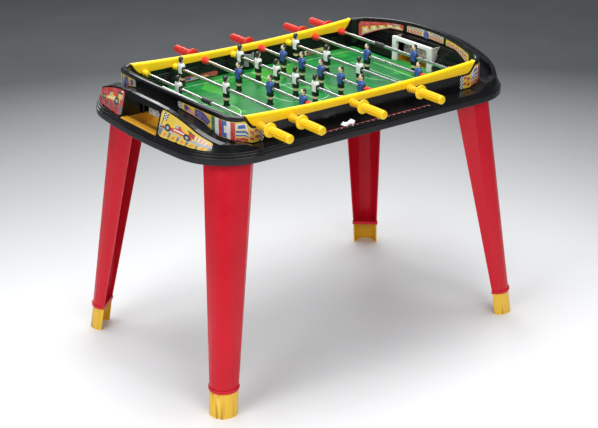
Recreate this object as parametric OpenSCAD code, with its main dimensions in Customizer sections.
// Small table football game: black moulded tray and playing box on four
// red channel legs, eight telescopic rods, two end pods with ball trays.
// X runs along the table, Y across it, Z up; the origin is on the floor
// under the middle of the table.  All sizes are in millimetres.

/* [Table body] */
// Half length of the tray rim at the middle of an end
tray_half_l = 492; // [486:1:500]
// Half width of the tray rim
tray_half_w = 304; // [302:1:312]
// Height of the rim's lower edge above the floor
rim_z = 620; // [560:1:640]
// Height of the rim's upright outer face
rim_h = 16; // [14:1:18]
// Thickness of the moulded skins
skin = 4; // [3:0.5:5]
// How far the ends of the rim bulge outwards
tray_bulge = 30; // [26:1:34]
// Corner radius of the rim
tray_corner_r = 140; // [130:1:150]

/* [Playing box] */
// Half length of the box at the middle of an end
box_half_l = 426; // [424:1:430]
// Half width of the box over its outer faces
box_half_w = 256; // [256:1:258]
// Thickness of the box walls
wall_t = 12; // [11:0.5:12]
// Height of the end walls at their corners, above the tray shelf
end_corner_h = 65; // [62:1:68]
// Extra height of the end walls in the middle
end_arch_h = 20; // [12:1:26]
// Half width of a goal opening
goal_half_w = 77.5; // [70:0.5:80]

/* [Rails] */
// Height of a side rail at mid-length, above the rods
rail_h = 17.5; // [15:0.5:20]
// Extra height of a side rail at its ends
rail_rise = 12; // [6:1:14]

/* [Rods and players] */
// Distance from one rod to the next
rod_pitch = 90; // [90:0.5:91]
// Height of the rods above the tray shelf
rod_h = 40; // [38:1:42]
// Outside radius of the sliding rod tubes
tube_r = 4; // [3.8:0.1:4.2]
// Radius of the turning inner bars
bar_r = 3; // [2.8:0.1:3.1]
// Running clearance of bars and tubes, on the radius
run_gap = 0.06; // [0.03:0.01:0.09]
// Distance from a rod to the soles of its players
player_drop = 43.8; // [40:0.2:44]
// Width of a player over the arms
player_w = 25; // [22:1:27]
// Radius of the guard disc on a handle
guard_r = 17.5; // [14:0.5:18]
// Radius of a handle at its free end
grip_r = 11; // [9:0.5:12]

/* [Legs] */
// Distance of a foot's centre from the table's middle, along X
foot_x = 452; // [430:1:470]
// Distance of a foot's centre from the table's middle, along Y
foot_y = 286; // [270:1:300]
// Half width of a leg at its top
leg_top_r = 58; // [52:1:60]
// Half width of a leg at its foot
leg_foot_r = 35; // [32:1:36]
// Visible height of the feet
foot_h = 62; // [50:1:70]

/* [Hidden] */
e = 0.01;

// shared levels
shelf_z = rim_z + rim_h + 12;
rod_z = shelf_z + rod_h;
pan_z = shelf_z - 14;
pitch_z = shelf_z - 10;
pan_floor = 5;
leg_top_z = pan_z - pan_floor;

// playing field
pitch_half_l = 360;
pan_half_l = 365;
in_half_w = box_half_w - wall_t;
pan_half_w = in_half_w - 1;

// box ends
box_bulge = 42.6;
box_corner_r = 50;
seam_x = 327;
goal_top_z = pitch_z + 52;
slope_x0 = 362;
slope_x1 = 402;
slope_z1 = pitch_z + 65;

// rails
rail_out = 1;
rail_tip_x = 352;
rail_low_x = 326;

// pods
pod_half_l = tray_half_l - 8;
pod_half_w = tray_half_w - 12;
pod_bulge = 36;
pod_corner_r = 118;
pod_taper_h = 72;
pod_taper = 19;
pod_lip_w = 10;
pod_skin = 3.5;
pod_mid_z = shelf_z + 69;
pod_side_z = shelf_z + 17;
mouth_half_w = 77;

// rods, numbered 1 to 8 along +X; side -1 has its handle at -Y
rod_side = [-1, -1, 1, -1, 1, -1, 1, 1];
rod_face = [1, 1, -1, 1, -1, 1, -1, -1];
function rod_x(i) = (i - 4.5) * rod_pitch;
// first player and spacing along each rod, from the -Y end
team_n = [1, 2, 3, 5, 5, 3, 2, 1];
team_first = [85, 11, -183, -112, -180, -62, -186, -66];
team_step = [0, 199, 134, 80, 80, 134, 201, 0];
collar_len = 34;
function collar_y(i) = i == 1 ? -42 : 71;
bush_wall_r = 7;
// inner ends of the bushes, measured from the middle of the table
function bush_y(side) = side < 0 ? 216 : 224;
function blind_y(side) = side < 0 ? 226 : 200;
guard_y = 299;
grip_end = 377;
// far end of a tube with its rod pushed in
function tube_end_y(side) = blind_y(side) - 5;
bar_tip_y = 200;

// score counters
score_half_l = 172;
slot_half_l = 165;
score_y = 291;
strip_y = 287.5;
strip_w = 20;
strip_t = 1.6;
car_rest_x = -84;

// legs
leg_phi = 49;
leg_lean_x = -69 / 600;
leg_lean_y = -62 / 600;
leg_skin = 3.2;
// how far the channel runs inward of its axis, at the top and at the foot
leg_top_in = 40;
leg_foot_in = 5;
collar_h = 8;

black = [0.02, 0.02, 0.022];
leg_red = [0.69, 0.03, 0.13];
foot_yellow = [0.86, 0.64, 0.12];
rail_yellow = [0.96, 0.80, 0.06];
amber = [0.80, 0.50, 0.10];
green = [0.03, 0.45, 0.16];
white = [0.93, 0.94, 0.92];
team_blue = [0.16, 0.28, 0.60];
grip_red = [0.82, 0.14, 0.12];
chrome = [0.80, 0.81, 0.82];

function per_rod(name, ids = [1:8]) = [for (i = ids) str(name, "_", i)];

// ---------------------------------------------------------------- outlines

// Outline with two straight sides and two bowed ends, as a closed loop.
function bowed(hl, hw, bulge, rc, na = 10, nc = 12) =
    let (
        big = (hw * hw + bulge * bulge) / (2 * bulge),
        cx = hl - big,
        yc = hw - rc,
        xc = cx + sqrt((big - rc) * (big - rc) - yc * yc),
        a0 = atan2(yc, xc - cx),
        end = [for (k = [-na:na]) [cx + big * cos(a0 * k / na), big * sin(a0 * k / na)]],
        top = [for (k = [1:nc])
            let (a = a0 + (90 - a0) * k / nc)
            [xc + rc * cos(a), yc + rc * sin(a)]],
        low = [for (k = [nc:-1:1]) [top[k - 1][0], -top[k - 1][1]]],
        right = concat(low, end, top),
        n = len(right)
    )
    concat(right, [for (k = [1:n]) [-right[n - k][0], right[n - k][1]]]);

function tray_pts(d) =
    bowed(tray_half_l - d, tray_half_w - d, tray_bulge, tray_corner_r - d);
function box_pts(d) =
    bowed(box_half_l - d, box_half_w - d, box_bulge, box_corner_r - d);
function pod_pts(d) =
    bowed(pod_half_l - d, pod_half_w - d, pod_bulge, pod_corner_r - d);

// Rectangle with rounded corners, as a closed loop.
function round_rect(w, h, r, n = 4) = [
    for (q = [0:3], k = [0:n])
        let (
            a = 90 * q + 90 * k / n,
            sx = (q == 0 || q == 3) ? 1 : -1,
            sy = q < 2 ? 1 : -1
        )
        [sx * (w / 2 - r) + r * cos(a), sy * (h / 2 - r) + r * sin(a)]
];

module slab(pts, z0, z1) {
    translate([0, 0, z0])
        linear_extrude(z1 - z0)
            polygon(pts);
}

// Profile in the XZ plane, run along Y from y0 to y1.
module along_y(pts, y0, y1) {
    translate([0, y1, 0])
        rotate([90, 0, 0])
            linear_extrude(y1 - y0)
                polygon(pts);
}

// Profile in the YZ plane, run along X from x0 to x1.
module along_x(pts, x0, x1) {
    translate([x0, 0, 0])
        rotate([90, 0, 90])
            linear_extrude(x1 - x0)
                polygon(pts);
}

module box_at(x0, x1, y0, y1, z0, z1) {
    translate([x0, y0, z0])
        cube([x1 - x0, y1 - y0, z1 - z0]);
}

// Cylinder along Y between y0 and y1.
module rod_y(r, y0, y1, fn = 32) {
    translate([0, y0, 0])
        rotate([-90, 0, 0])
            cylinder(r = r, h = y1 - y0, $fn = fn);
}

// ---------------------------------------------------------------- tray

module tray_step(d, z0, z1) {
    slab(tray_pts(d), z0, z1);
}

module lower_tray() {
    color(black)
    difference() {
        union() {
            difference() {
                union() {
                    tray_step(0, rim_z, rim_z + rim_h);
                    tray_step(3, rim_z + rim_h - e, shelf_z - 6);
                    tray_step(6, shelf_z - 6 - e, shelf_z);
                }
                tray_step(skin, rim_z - 1, rim_z + rim_h - skin);
                tray_step(skin + 3, rim_z + rim_h - skin - e, shelf_z - 6 - skin);
                tray_step(skin + 6, shelf_z - 6 - skin - e, shelf_z - skin);
            }
            box_at(-pan_half_l - skin, pan_half_l + skin,
                   -pan_half_w - skin, pan_half_w + skin,
                   leg_top_z, shelf_z - e);
        }
        box_at(-pan_half_l, pan_half_l, -pan_half_w, pan_half_w, pan_z, shelf_z + 1);
        for (s = [-1, 1]) {
            // well for the ball tray, open to the goal
            box_at(min(s * 360, s * 477), max(s * 360, s * 477),
                   -85, 85, leg_top_z - 1, shelf_z + 1);
        }
    }
}

// ---------------------------------------------------------------- pods

// Height of a pod's upper edge across the table.
function pod_edge(y) =
    let (t = min(1, abs(y) / 262))
    pod_side_z + (pod_mid_z - pod_side_z) * (1 - pow(t, 2.6));

// Floor of the recess behind a pod's upper edge.
function recess_z(y) =
    let (t = min(1, abs(y) / 250))
    shelf_z + 8 + 53 * (1 - pow(t, 2.4));

function pod_arch(d) = concat(
    [[-320, shelf_z - 40], [320, shelf_z - 40]],
    [for (k = [16:-1:-16]) [320 * k / 16, pod_edge(320 * k / 16) - d]]);

// Long-side fade of a pod down to the tray shelf.
function pod_fade(d) = [
    [338 + d, shelf_z - 40], [520, shelf_z - 40], [520, shelf_z + 80],
    [420, shelf_z + 80], [400, pod_side_z - d], [372, pod_side_z - 2 - d],
    [338 + d, shelf_z + 1 - d]];

// Tapered housing, inset by d.
module pod_block(d) {
    hull() {
        slab(pod_pts(d), shelf_z - 1, shelf_z);
        slab(pod_pts(d + pod_taper), shelf_z + pod_taper_h, shelf_z + pod_taper_h + e);
    }
}

// Part of the block under the arched top and the side fade.
module pod_shape(d, lift = 0) {
    intersection() {
        children();
        along_x(pod_arch(d - lift), 300, 520);
        along_y(pod_fade(d - lift), -320, 320);
        box_at(300, 520, -320, 320, shelf_z - (d > 0 ? 1 : 0), shelf_z + 90);
    }
}

// Recess between a pod's upper edge and the end wall, grown by d.
module pod_recess(d) {
    intersection() {
        pod_block(pod_lip_w - d);
        along_x(concat([[320, shelf_z + 95], [-320, shelf_z + 95]],
                       [for (k = [-16:16]) [20 * k, recess_z(20 * k) - d]]), 386 - d, 520);
    }
}

module pod() {
    w = mouth_half_w;
    color(black)
    difference() {
        union() {
            difference() {
                pod_shape(0)
                    pod_block(0);
                pod_recess(0);
                difference() {
                    pod_shape(pod_skin)
                        pod_block(pod_skin);
                    pod_recess(pod_skin);
                }
            }
            // cheeks of the ball return
            for (s = [-1, 1]) {
                along_y([[400, shelf_z], [pod_half_l - 5, shelf_z],
                         [pod_half_l - 19.5, shelf_z + 53], [400, shelf_z + 53]],
                        s * (w + 9) - 1, s * (w + 9) + 1);
            }
        }
        slab(box_pts(-0.2), shelf_z - 1, shelf_z + 90);
        // mouth of the ball return
        along_x([[-w, shelf_z - 4], [w, shelf_z - 4], [w, shelf_z + 49],
                 [w - 5, shelf_z + 54], [5 - w, shelf_z + 54], [-w, shelf_z + 49]],
                448, 520);
    }
}

module pod_left() {
    mirror([1, 0, 0])
        pod();
}

module pod_right() {
    pod();
}

// ---------------------------------------------------------------- box

module side_panel(s) {
    y0 = in_half_w;
    y1 = box_half_w;
    color(black)
    difference() {
        union() {
            box_at(-seam_x, seam_x, min(s * y0, s * y1), max(s * y0, s * y1),
                   shelf_z, rod_z);
            // ridges along the inner face
            for (k = [0:3]) {
                box_at(-seam_x, seam_x,
                       min(s * (y0 - 1), s * (y0 + 1)), max(s * (y0 - 1), s * (y0 + 1)),
                       shelf_z + 5 + 6 * k, shelf_z + 7.5 + 6 * k);
            }
        }
        for (i = [1:8]) {
            translate([rod_x(i), 0, rod_z])
                rod_y(bush_wall_r + 0.1, min(s * 230, s * 270), max(s * 230, s * 270));
        }
    }
}

module side_panel_near() {
    side_panel(-1);
}

module side_panel_far() {
    side_panel(1);
}

function end_top(y) =
    let (t = min(1, abs(y) / 250))
    shelf_z + end_corner_h + end_arch_h * (1 - t * t);

function slope_x(z) =
    slope_x0 + (slope_x1 - slope_x0) * (z - pitch_z) / (slope_z1 - pitch_z);

// Ridged inner slope of an end wall, from the pitch up to the ledge.
ridge_n = 8;
function ridge_pts() = [
    for (k = [0:ridge_n - 1], h = [0, 1])
        let (
            za = pitch_z + (slope_z1 - pitch_z) * k / ridge_n,
            zb = pitch_z + (slope_z1 - pitch_z) * (k + 1) / ridge_n
        )
        h == 0 ? [slope_x(za), za] : [slope_x(za) + 1, zb - 1.2]
];

function prow(t, d = 0) =
    [rail_low_x + d + (rail_tip_x - rail_low_x) * t,
     rod_z + rail_tip_h() * pow(t, 1.6)];
function rail_tip_h() = rail_h + rail_rise;

module end_wall() {
    prow_n = 10;
    side_top = concat(
        [[seam_x + 0.1, shelf_z], [460, shelf_z], [460, shelf_z + 120],
         [rail_tip_x + 1, shelf_z + 120]],
        [for (k = [prow_n:-1:1]) prow(k / prow_n, 1)],
        [[seam_x + 0.1, rod_z + 0.2]]);
    arch = concat(
        [[-270, shelf_z - 1], [270, shelf_z - 1]],
        [for (k = [18:-1:-18]) [15 * k, end_top(15 * k)]]);
    play = concat(
        [[300, pan_z - 40], [slope_x0, pan_z - 40]],
        ridge_pts(),
        [[slope_x1, slope_z1], [520, slope_z1], [520, slope_z1 + 80],
         [300, slope_z1 + 80]]);
    hollow = [
        [slope_x(shelf_z) + 6, shelf_z - 1], [slope_x(shelf_z) + 6, shelf_z],
        [slope_x(slope_z1) + 3.5, slope_z1 - 4], [520, slope_z1 - 4],
        [520, shelf_z - 1]];
    color(black)
    difference() {
        intersection() {
            slab(box_pts(0), shelf_z, shelf_z + 100);
            along_y(side_top, -300, 300);
            along_x(arch, 300, 460);
        }
        intersection() {
            slab(box_pts(wall_t), pan_z - 20, shelf_z + 120);
            along_y(play, -300, 300);
        }
        intersection() {
            slab(box_pts(skin), shelf_z - 2, slope_z1 - 4);
            along_y(hollow, -300, 300);
        }
        // goal mouth and the way on into the ball return
        along_x([[-goal_half_w, shelf_z - 2], [goal_half_w, shelf_z - 2],
                 [goal_half_w, goal_top_z - 8], [goal_half_w - 8, goal_top_z],
                 [8 - goal_half_w, goal_top_z], [-goal_half_w, goal_top_z - 8]],
                340, 450);
    }
}

module end_wall_left() {
    mirror([1, 0, 0])
        end_wall();
}

module end_wall_right() {
    end_wall();
}

module pitch() {
    color(green)
    union() {
        slab(round_rect(2 * pitch_half_l, 2 * pan_half_w - 1, 10), pan_z, pitch_z);
        // tongues running into the goals
        slab(round_rect(2 * 381, 2 * goal_half_w + 6, 2), pan_z, pitch_z);
    }
}

// ---------------------------------------------------------------- rails

function rail_top(x) = rod_z + rail_h + rail_rise * pow(x / rail_tip_x, 2);

module rail(s) {
    y0 = in_half_w - rail_out;
    y1 = box_half_w + rail_out;
    n = 10;
    m = 24;
    body = concat(
        [for (k = [0:n]) prow(k / n)],
        [for (k = [m - 1:-1:-m + 1])
            let (x = (rail_tip_x - 2) * k / m)
            [x, rail_top(x)]],
        [for (k = [n:-1:0]) [-prow(k / n)[0], prow(k / n)[1]]]);
    // upper edges stepped round: narrow core and two lower, wider profiles
    color(rail_yellow)
    difference() {
        union() {
            along_y(body, min(s * (y0 + 3), s * (y1 - 3)),
                    max(s * (y0 + 3), s * (y1 - 3)));
            for (t = [[0, 3], [1, 1.2]]) {
                ya = min(s * (y0 + t[0]), s * (y1 - t[0]));
                yb = max(s * (y0 + t[0]), s * (y1 - t[0]));
                intersection() {
                    along_y(body, ya, yb);
                    translate([0, 0, -t[1]])
                        along_y(body, ya - 1, yb + 1);
                }
            }
        }
        for (i = [1:8]) {
            translate([rod_x(i), 0, rod_z])
                rod_y(bush_wall_r + 0.1, min(s * 230, s * 270), max(s * 230, s * 270));
        }
    }
}

module rail_near() {
    rail(-1);
}

module rail_far() {
    rail(1);
}

// ---------------------------------------------------------------- ball returns

// Bent floor of a ball tray: ramp, trough and sloping front.
tray_floor = [
    [382.2, rim_z + 13], [399, rim_z], [453, rim_z], [476, shelf_z - 2],
    [476, shelf_z + 1], [469, shelf_z + 1], [451, rim_z + 3], [400, rim_z + 3],
    [384, rim_z + 17], [382.2, rim_z + 17]];

module ball_tray() {
    w = mouth_half_w + 7;
    color(amber)
    union() {
        along_y(tray_floor, -w, w);
        // side walls
        for (s = [-1, 1]) {
            along_y([[384, rim_z + 13], [399, rim_z + 1], [453, rim_z + 1],
                     [475, shelf_z - 1], [406, shelf_z - 1], [392, rim_z + 20]],
                    min(s * w, s * (w - 2.5)), max(s * w, s * (w - 2.5)));
            // sloping corner facet
            hull() {
                along_y([[424, rim_z + 2], [454, rim_z + 2], [473, shelf_z - 2]],
                        s * (w - 1) - 0.5, s * (w - 1) + 0.5);
                along_y([[448, rim_z + 2], [450, rim_z + 2], [450, rim_z + 4]],
                        s * (w - 36) - 0.5, s * (w - 36) + 0.5);
            }
        }
        // lip over the rim
        box_at(467, pod_half_l - 0.6, 0.5 - mouth_half_w, mouth_half_w - 0.5,
               shelf_z + 0.1, shelf_z + 3.5);
        translate([pod_half_l - 0.6, 0.5 - mouth_half_w, shelf_z + 1.8])
            rotate([-90, 0, 0])
                cylinder(r = 1.7, h = 2 * mouth_half_w - 1, $fn = 32);
    }
}

module ball_tray_left() {
    mirror([1, 0, 0])
        ball_tray();
}

module ball_tray_right() {
    ball_tray();
}

// ---------------------------------------------------------------- goals

frame_x0 = slope_x0;
frame_x1 = frame_x0 + 8;
post_w = 15;
goal_out = goal_half_w - 0.5;
bar_z1 = pitch_z + 67;
bar_h = 10;

// Frame outline in the YZ plane, with filled inner corners.
module goal_frame() {
    w = goal_out - post_w;
    z = bar_z1 - bar_h;
    difference() {
        box_at(frame_x0, frame_x1, -goal_out, goal_out, pitch_z + 0.1, bar_z1);
        along_x([[-w, pitch_z - 1], [w, pitch_z - 1], [w, z - 7], [w - 2, z - 2],
                 [w - 7, z], [7 - w, z], [2 - w, z - 2], [-w, z - 7]],
                frame_x0 - 1, frame_x1 + 1);
    }
}

module goal_frames() {
    color(white)
    for (m = [0, 1]) {
        mirror([m, 0, 0])
            goal_frame();
    }
}

// Sheet of diamond mesh, w by h, with a plain border.
module lattice(w, h, cell, border) {
    difference() {
        square([w, h]);
        intersection() {
            translate([border, border])
                square([w - 2 * border, h - 2 * border]);
            for (i = [0:ceil(w / cell)], j = [0:ceil(h / cell)], o = [0, 0.5]) {
                translate([(i + o) * cell, (j + o) * cell])
                    rotate(45)
                        square(cell * 0.54, center = true);
            }
        }
    }
}

module goal_net() {
    net_t = 1.4;
    z0 = pitch_z + 1;
    // side sheets behind the posts, top edge running back above the slope
    for (s = [-1, 1]) {
        y = s * (goal_out - 0.8);
        intersection() {
            translate([frame_x1, y + net_t / 2, z0])
                rotate([90, 0, 0])
                    linear_extrude(net_t)
                        lattice(27, bar_z1 - 2 - z0, 7.5, 1.5);
            along_y([[frame_x1, z0], [384, z0], [384, goal_top_z], [396, bar_z1 - 2],
                     [frame_x1, bar_z1 - 2]], -120, 120);
        }
        // plain hems
        along_y([[frame_x1, bar_z1 - 5], [394, bar_z1 - 5], [396, bar_z1 - 2],
                 [frame_x1, bar_z1 - 2]], y - net_t / 2, y + net_t / 2);
        along_y([[382.5, z0], [384, z0], [384, goal_top_z], [395.5, bar_z1 - 3],
                 [393.5, bar_z1 - 3], [382.5, goal_top_z]],
                y - net_t / 2, y + net_t / 2);
    }
    // back sheet, hanging clear of the ball tray
    translate([404, 1 - goal_half_w, pitch_z + 6])
        rotate([90, 0, 90])
            linear_extrude(net_t)
                lattice(2 * goal_half_w - 2, goal_top_z - pitch_z - 15, 8.5, 1.8);
}

module goal_nets() {
    color(white)
    for (m = [0, 1]) {
        mirror([m, 0, 0])
            goal_net();
    }
}

// Half-round chute on the far side panel through which the ball is served.
module serve_cup() {
    color([0.55, 0.57, 0.58])
    translate([4, in_half_w - 1.3, shelf_z])
        difference() {
            cylinder(r = 15, h = 34, $fn = 48);
            translate([0, 0, -1])
                cylinder(r = 12.5, h = 40, $fn = 48);
            // mouth towards the pitch
            translate([-8, -30, -1])
                cube([16, 30, 14]);
            // open back against the side panel
            translate([-20, 0, -1])
                cube([40, 20, 40]);
        }
}

// ---------------------------------------------------------------- bushes

// Bush on the handle side: stepped bellows outside, stepped cone inside.
module handle_bush(side) {
    b = tube_r + run_gap;
    z_tip = bush_y(side) - box_half_w;
    z_in = -wall_t - rail_out - 0.2;
    rings = [for (k = [0:3], h = [0, 1, 2, 3])
        let (
            za = rail_out + 0.2 + 7 * k,
            r = 10.2 - 0.8 * k
        )
        h == 0 ? [r - 0.8, za] : h == 1 ? [r, za + 1]
            : h == 2 ? [r, za + 5] : [6.4, za + 6]];
    pts = concat(
        [[b, rail_out + 28]],
        [for (k = [len(rings) - 1:-1:0]) rings[k]],
        [[bush_wall_r, rail_out + 0.2], [bush_wall_r, z_in],
         [9.5, z_in], [9.5, z_in - 5], [8.4, z_in - 6], [8.4, z_in - 11],
         [7, z_in - 12], [6.6, z_tip], [b, z_tip]]);
    rotate_extrude($fn = 48)
        polygon(pts);
}

// Blind bush on the other side, holding the end of the turning bar.
module blind_bush(side) {
    b = bar_r + run_gap;
    z_in = -wall_t - rail_out - 0.2;
    z_end = blind_y(side) - box_half_w;
    rotate_extrude($fn = 48)
        polygon([[0, 0], [bush_wall_r, 0], [bush_wall_r, z_in], [8.6, z_in],
                 [8.6, z_in - 4], [7.4, z_in - 5], [7, z_end], [b, z_end],
                 [b, -3], [0, -3]]);
}

module bushes(side) {
    for (i = [1:8]) {
        if (rod_side[i - 1] == side) {
            translate([rod_x(i), side * box_half_w, rod_z])
                rotate([-90 * side, 0, 0])
                    handle_bush(side);
            translate([rod_x(i), -side * box_half_w, rod_z])
                rotate([90 * side, 0, 0])
                    blind_bush(side);
        }
    }
}

module bushes_yellow() {
    color(rail_yellow)
        bushes(-1);
}

module bushes_red() {
    color(grip_red)
        bushes(1);
}

// ---------------------------------------------------------------- rods

// Places children on rod i, with +Y local towards the handle.
module on_rod(i) {
    translate([rod_x(i), 0, rod_z])
        rotate([0, 0, rod_side[i - 1] > 0 ? 0 : 180])
            children();
}

module bar(i) {
    color(chrome)
    on_rod(i)
        rod_y(bar_r, -box_half_w + 4, bar_tip_y);
}

module tube(i) {
    color(chrome)
    on_rod(i)
        difference() {
            rod_y(tube_r, -tube_end_y(rod_side[i - 1]), grip_end - 6);
            rod_y(bar_r + run_gap, -tube_end_y(rod_side[i - 1]) - 1, grip_end - 60);
        }
}

module handle(i) {
    y0 = guard_y - 3;
    flute_n = 10;
    tilt = atan((grip_r - 8) / 56);
    color(rod_side[i - 1] < 0 ? rail_yellow : grip_red)
    on_rod(i)
        rotate([-90, 0, 0])
            difference() {
                rotate_extrude($fn = 64)
                    polygon([
                        [0, y0], [8, y0], [guard_r - 1.5, y0], [guard_r, y0 + 1.5],
                        [guard_r, y0 + 4], [guard_r - 1.5, y0 + 5.5], [9, y0 + 6.5],
                        [8, y0 + 9], [8, y0 + 14],
                        [grip_r - 0.6, grip_end - 14], [grip_r, grip_end - 9],
                        [grip_r - 0.8, grip_end - 4], [grip_r - 2.6, grip_end - 1.3],
                        [grip_r - 5, grip_end], [0, grip_end]]);
                translate([0, 0, y0 - 1])
                    cylinder(r = tube_r + 0.02, h = grip_end - 6 - y0 + 1.02, $fn = 32);
                for (k = [0:flute_n - 1]) {
                    rotate([0, 0, 360 * k / flute_n])
                        translate([8.7, 0, y0 + 11])
                            rotate([0, tilt, 0])
                                cylinder(r = 1.3, h = grip_end - y0 - 27, $fn = 16);
                }
            }
}

module stop_collar(i) {
    color(black)
    translate([rod_x(i), collar_y(i) - collar_len / 2, rod_z])
        difference() {
            rod_y(6.6, 0, collar_len);
            rod_y(tube_r + 0.02, -1, collar_len + 1);
        }
}

// ---------------------------------------------------------------- players

// One player hanging on the rod axis, looking towards +X.
module figure() {
    w = player_w;
    difference() {
        union() {
            // boots and lower legs
            slab([for (p = round_rect(14, 16, 2.5)) [p[0], p[1]]],
                 -player_drop, 5 - player_drop);
            slab(round_rect(10, 14, 2.5), 4.5 - player_drop, -22);
            // shorts
            slab(round_rect(12, 19, 3), -25, -9);
            // trunk, wider at the chest
            slab(round_rect(12.5, w - 5, 4), -10, 4);
            slab(round_rect(14, w - 3, 5), 3, 15);
            // shoulders and arms
            translate([0, 0, 13.5])
                rod_y(4.6, -w / 2 + 2, w / 2 - 2, 24);
            for (s = [-1, 1]) {
                translate([-0.5, s * (w / 2 - 2.8), -8])
                    cylinder(r = 2.8, h = 21.5, $fn = 20);
                translate([0, s * (w / 2 - 2.9), 13.5])
                    sphere(r = 4.1, $fn = 24);
            }
            // neck and head
            translate([0, 0, 14])
                cylinder(r = 3.4, h = 8, $fn = 20);
            translate([0.4, 0, 26])
                sphere(r = 6.9, $fn = 32);
            // hair
            translate([-0.9, 0, 27.6])
                sphere(r = 7.1, $fn = 32);
            // nose
            translate([6.6, 0, 25])
                sphere(r = 1.3, $fn = 16);
        }
        rod_y(tube_r + 0.02, -w, w);
        // soles and hair trimmed level
        translate([-20, -20, 34.4])
            cube([40, 40, 10]);
    }
}

module team(i) {
    color(rod_face[i - 1] > 0 ? white : team_blue)
    for (k = [0:team_n[i - 1] - 1]) {
        translate([rod_x(i), team_first[i - 1] + team_step[i - 1] * k, rod_z])
            rotate([0, 0, rod_face[i - 1] > 0 ? 0 : 180])
                figure();
    }
}

// ---------------------------------------------------------------- score counters

module score_strip() {
    difference() {
        slab([for (p = round_rect(2 * score_half_l, strip_w, 3)) [p[0], p[1] - strip_y]],
             shelf_z, shelf_z + strip_t);
        slab([for (p = round_rect(2 * slot_half_l, 3.2, 1.5)) [p[0], p[1] - score_y]],
             shelf_z + 0.4, shelf_z + strip_t + 1);
    }
}

module score_strips() {
    color(black)
    for (a = [0, 180]) {
        rotate([0, 0, a])
            score_strip();
    }
}

// Little open-wheel racing car that runs along the slot.
module score_car() {
    z0 = shelf_z + strip_t + 0.3;
    translate([car_rest_x, -score_y, z0])
        union() {
            // keel in the slot
            box_at(-9, 9, -1.1, 1.1, -1.2, 1.5);
            // floor, nose and engine cover
            slab(round_rect(27, 6, 1.5), 0.7, 3.4);
            slab([for (p = round_rect(20, 8, 2.5)) [p[0] + 2.7, p[1]]], 1.3, 5.4);
            along_y([[-16, 1.3], [0, 1.3], [0, 6], [-5.4, 5.7], [-16, 3]], -2.2, 2.2);
            along_y([[0, 1.3], [13.4, 1.3], [13.4, 6], [5.4, 9], [2.7, 9], [0.7, 6]],
                    -2, 2);
            // wings
            box_at(-16.7, -12.7, -7, 7, 1.3, 2.9);
            box_at(11.4, 15.4, -6.4, 6.4, 7.4, 8.7);
            for (s = [-1, 1]) {
                box_at(11.4, 15.4, s * 6.4 - 0.6, s * 6.4 + 0.6, 4, 9.4);
            }
            box_at(11.7, 14, -1, 1, 2.7, 8);
            // wheels on their axles
            for (x = [-8.7, 9.4]) {
                translate([x, 0, 3.5])
                    rod_y(1, -6, 6, 16);
                for (s = [-1, 1]) {
                    translate([x, 0, 3.5])
                        rod_y(3.5, min(s * 4.2, s * 7.3), max(s * 4.2, s * 7.3), 32);
                }
            }
        }
}

module score_car_near() {
    color(white)
        score_car();
}

module score_car_far() {
    color(white)
        rotate([0, 0, 180])
            score_car();
}

// ---------------------------------------------------------------- legs

// Places a leg section at height z, with local +X pointing at its nose.
module leg_at(z) {
    translate([foot_x + leg_lean_x * z, foot_y + leg_lean_y * z, z])
        rotate([0, 0, leg_phi])
            children();
}

// Section of the leg's top: deep channel with a flattened nose, open towards -X.
function top_section(r, d, back) = concat(
    [[-leg_top_in - back, -r + d], [8 - 0.4 * d, -r * 0.96 + d]],
    [for (k = [-2:2]) [34 - d + 4 * cos(30 * k), (18 - 0.4 * d) * k / 2]],
    [[8 - 0.4 * d, r * 0.96 - d], [-leg_top_in - back, r - d]]);

function half_disc(r, back) = concat(
    [[-back, -r]],
    [for (k = [-9:9]) [r * cos(10 * k), r * sin(10 * k)]],
    [[-back, r]]);

module leg_hull(d, back, z0, z1) {
    hull() {
        leg_at(z1)
            linear_extrude(e)
                polygon(top_section(leg_top_r, d, back));
        leg_at(z0)
            linear_extrude(e)
                polygon(half_disc(leg_foot_r - d, leg_foot_in + back));
    }
}

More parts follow.
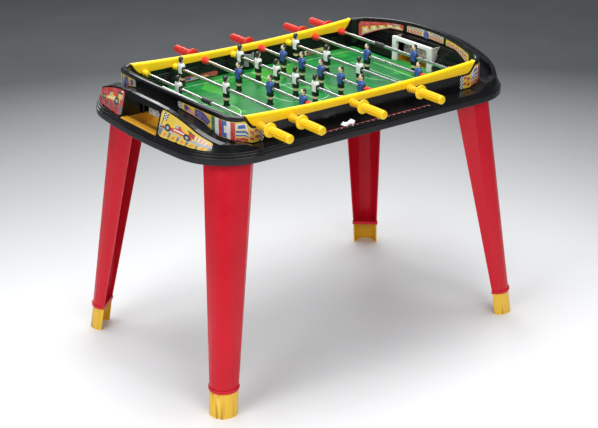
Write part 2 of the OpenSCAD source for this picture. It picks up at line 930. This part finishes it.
module leg() {
    color(leg_red)
    difference() {
        union() {
            difference() {
                leg_hull(0, 0, foot_h, leg_top_z - e);
                leg_hull(leg_skin, 6, foot_h - 1, leg_top_z - leg_skin);
            }
            // collar plate over the foot
            leg_at(foot_h)
                linear_extrude(collar_h)
                    polygon(half_disc(leg_foot_r + 2.5, leg_foot_in + 2.5));
        }
        box_at(0, 600, 0, 400, -10, foot_h);
    }
}

module leg_far_right() {
    leg();
}

module leg_far_left() {
    mirror([1, 0, 0])
        leg();
}

module leg_near_right() {
    mirror([0, 1, 0])
        leg();
}

module leg_near_left() {
    mirror([1, 0, 0])
        mirror([0, 1, 0])
            leg();
}

// Open half-round foot with a narrow inward flange on the floor.
module foot() {
    difference() {
        hull() {
            leg_at(foot_h - e)
                linear_extrude(e)
                    polygon(half_disc(leg_foot_r - 0.2, leg_foot_in));
            leg_at(0)
                linear_extrude(e)
                    polygon(half_disc(leg_foot_r - 0.5, leg_foot_in));
        }
        hull() {
            leg_at(foot_h)
                linear_extrude(e)
                    polygon(half_disc(leg_foot_r - 3.4, leg_foot_in + 6));
            leg_at(3)
                linear_extrude(e)
                    polygon(half_disc(leg_foot_r - 3.7, leg_foot_in + 6));
        }
        leg_at(-1)
            linear_extrude(6)
                polygon(half_disc(leg_foot_r - 9, leg_foot_in + 6));
    }
}

module feet_far() {
    color(foot_yellow)
    for (m = [0, 1]) {
        mirror([m, 0, 0])
            foot();
    }
}

module feet_near() {
    mirror([0, 1, 0])
        feet_far();
}

// ---------------------------------------------------------------- nodes

lower_tray();
pod_left();
pod_right();
side_panel_near();
side_panel_far();
end_wall_left();
end_wall_right();
pitch();
rail_near();
rail_far();
ball_tray_left();
ball_tray_right();
goal_frames();
goal_nets();
serve_cup();
leg_near_left();
leg_near_right();
leg_far_left();
leg_far_right();
feet_near();
feet_far();
score_strips();
score_car_near();
score_car_far();
bushes_yellow();
bushes_red();
for (i = [1:8]) {
    bar(i);
    tube(i);
    team(i);
    handle(i);
}
for (i = [1, 8]) {
    stop_collar(i);
}
